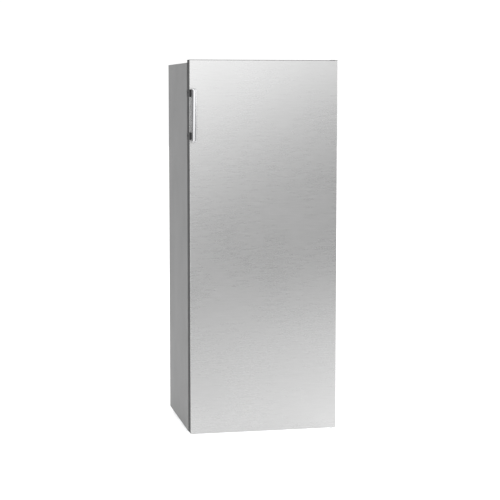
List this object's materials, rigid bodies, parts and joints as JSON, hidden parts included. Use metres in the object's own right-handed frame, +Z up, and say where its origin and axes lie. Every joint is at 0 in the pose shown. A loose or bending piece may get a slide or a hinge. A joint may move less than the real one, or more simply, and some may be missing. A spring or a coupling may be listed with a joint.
{
  "type": "upright refrigerator",
  "caption": "Tall free-standing larder refrigerator: brushed steel door with a short vertical bar handle, grey cabinet, glass shelves, door racks and a crisper.",
  "frame": {"origin": "centre of the outer box, on the floor under the feet and rollers", "axes": "+Z up, +X across the front to the hinge side, +Y from the door's front to the back"},
  "size_m": [0.563, 0.5848, 1.4112],
  "materials": {
    "cabinet_paint": "satin",
    "brushed_stainless": "satin",
    "dark_grey_plastic": "satin",
    "satin_chrome": "satin",
    "galvanised_steel": "satin",
    "white_liner": "satin",
    "white_plastic": "satin",
    "clear_plastic": "gloss",
    "shelf_glass": "gloss",
    "gasket_rubber": "matte",
    "insulating_foam": "matte",
    "aluminium": "satin",
    "copper": "satin",
    "black_paint": "satin",
    "black_plastic": "matte"
  },
  "bodies": {
    "cabinet": {"side_panel_left": "cabinet_paint", "side_panel_right": "cabinet_paint", "top_panel": "cabinet_paint", "bottom_panel": "galvanised_steel", "back_panel": "galvanised_steel", "top_hinge_bracket": "galvanised_steel", "top_hinge_pin": "galvanised_steel", "bottom_hinge_bracket": "galvanised_steel", "bottom_hinge_pin": "galvanised_steel", "roller_axle": "galvanised_steel", "compressor_base_plate": "galvanised_steel", "inner_liner": "white_liner", "cabinet_foam": "insulating_foam", "evaporator_plate": "aluminium", "thermostat_housing": "white_plastic", "lamp_cover": "clear_plastic", "top_hinge_cover": "dark_grey_plastic", "compressor": "black_paint", "condenser_tube": "black_paint", "condenser_wires": "black_paint", "compressor_relay_cover": "black_plastic", "evaporation_tray": "black_plastic", "drain_hose": "black_plastic", "cable_gland": "black_plastic", "discharge_pipe": "copper", "suction_pipe": "copper", "filter_drier": "copper"},
    "door": {"door_front_skin": "brushed_stainless", "door_side_trim_left": "dark_grey_plastic", "door_side_trim_right": "dark_grey_plastic", "door_top_cap": "dark_grey_plastic", "door_bottom_cap": "dark_grey_plastic", "door_foam": "insulating_foam", "door_inner_liner": "white_liner", "door_gasket": "gasket_rubber", "handle_bar": "satin_chrome", "handle_bracket_upper": "dark_grey_plastic", "handle_bracket_lower": "dark_grey_plastic"},
    "bottle_rack": {"bottle_rack": "clear_plastic"},
    "door_rack_lower": {"door_rack_lower": "clear_plastic"},
    "door_rack_upper": {"door_rack_upper": "clear_plastic"},
    "dairy_rack": {"dairy_rack": "clear_plastic"},
    "egg_tray": {"egg_tray": "white_plastic"},
    "dairy_cover": {"dairy_cover": "clear_plastic"},
    "shelf_1": {"shelf_1_glass": "shelf_glass", "shelf_1_trim": "white_plastic"},
    "shelf_2": {"shelf_2_glass": "shelf_glass", "shelf_2_trim": "white_plastic"},
    "shelf_3": {"shelf_3_glass": "shelf_glass", "shelf_3_trim": "white_plastic"},
    "shelf_4": {"shelf_4_glass": "shelf_glass", "shelf_4_trim": "white_plastic"},
    "crisper_cover": {"crisper_cover": "shelf_glass"},
    "crisper_drawer": {"crisper_drawer": "clear_plastic"},
    "thermostat_knob": {"thermostat_knob": "white_plastic"},
    "door_switch": {"door_switch": "white_plastic"},
    "foot_left": {"foot_left": "black_plastic"},
    "foot_right": {"foot_right": "black_plastic"},
    "roller_left": {"roller_left": "black_plastic"},
    "roller_right": {"roller_right": "black_plastic"}
  },
  "joints": [
    {"name": "door_swing", "type": "hinge", "parent": "cabinet", "child": "door", "pos_m": [0.268, -0.226, 0.7], "axis": [0, 0, 1], "range_deg": [0, 115]},
    {"name": "bottle_rack_lift", "type": "slide", "parent": "door", "child": "bottle_rack", "axis": [0, 0, 1], "range_m": [0, 0.025]},
    {"name": "door_rack_lower_lift", "type": "slide", "parent": "door", "child": "door_rack_lower", "axis": [0, 0, 1], "range_m": [0, 0.025]},
    {"name": "door_rack_upper_lift", "type": "slide", "parent": "door", "child": "door_rack_upper", "axis": [0, 0, 1], "range_m": [0, 0.025]},
    {"name": "dairy_rack_lift", "type": "slide", "parent": "door", "child": "dairy_rack", "axis": [0, 0, 1], "range_m": [0, 0.025]},
    {"name": "egg_tray_lift", "type": "slide", "parent": "door_rack_upper", "child": "egg_tray", "axis": [0, 0, 1], "range_m": [0, 0.05]},
    {"name": "dairy_cover_flip", "type": "hinge", "parent": "dairy_rack", "child": "dairy_cover", "pos_m": [0, -0.1945, 1.2045], "axis": [1, 0, 0], "range_deg": [0, 85]},
    {"name": "shelf_1_slide", "type": "slide", "parent": "cabinet", "child": "shelf_1", "axis": [0, -1, 0], "range_m": [0, 0.065]},
    {"name": "shelf_2_slide", "type": "slide", "parent": "cabinet", "child": "shelf_2", "axis": [0, -1, 0], "range_m": [0, 0.065]},
    {"name": "shelf_3_slide", "type": "slide", "parent": "cabinet", "child": "shelf_3", "axis": [0, -1, 0], "range_m": [0, 0.065]},
    {"name": "shelf_4_slide", "type": "slide", "parent": "cabinet", "child": "shelf_4", "axis": [0, -1, 0], "range_m": [0, 0.065]},
    {"name": "crisper_cover_slide", "type": "slide", "parent": "cabinet", "child": "crisper_cover", "axis": [0, -1, 0], "range_m": [0, 0.065]},
    {"name": "crisper_drawer_slide", "type": "slide", "parent": "cabinet", "child": "crisper_drawer", "axis": [0, -1, 0], "range_m": [0, 0.065]},
    {"name": "thermostat_turn", "type": "hinge", "parent": "cabinet", "child": "thermostat_knob", "pos_m": [0.1955, -0.052, 1.285], "axis": [-1, 0, 0], "range_deg": [0, 270]},
    {"name": "door_switch_press", "type": "slide", "parent": "cabinet", "child": "door_switch", "axis": [0, -1, 0], "range_m": [0, 0.006]},
    {"name": "foot_left_turn", "type": "hinge", "parent": "cabinet", "child": "foot_left", "pos_m": [-0.225, -0.147, 0], "axis": [0, 0, 1], "range_deg": [-180, 180]},
    {"name": "foot_right_turn", "type": "hinge", "parent": "cabinet", "child": "foot_right", "pos_m": [0.225, -0.147, 0], "axis": [0, 0, 1], "range_deg": [-180, 180]},
    {"name": "roller_left_spin", "type": "hinge", "parent": "cabinet", "child": "roller_left", "pos_m": [-0.235, 0.238, 0.014], "axis": [1, 0, 0], "continuous": true},
    {"name": "roller_right_spin", "type": "hinge", "parent": "cabinet", "child": "roller_right", "pos_m": [0.235, 0.238, 0.014], "axis": [1, 0, 0], "continuous": true}
  ],
  "couplings": [
    {"joint": "door_switch_press", "follows": "door_swing", "m_per_rad": 0.00298}
  ]
}
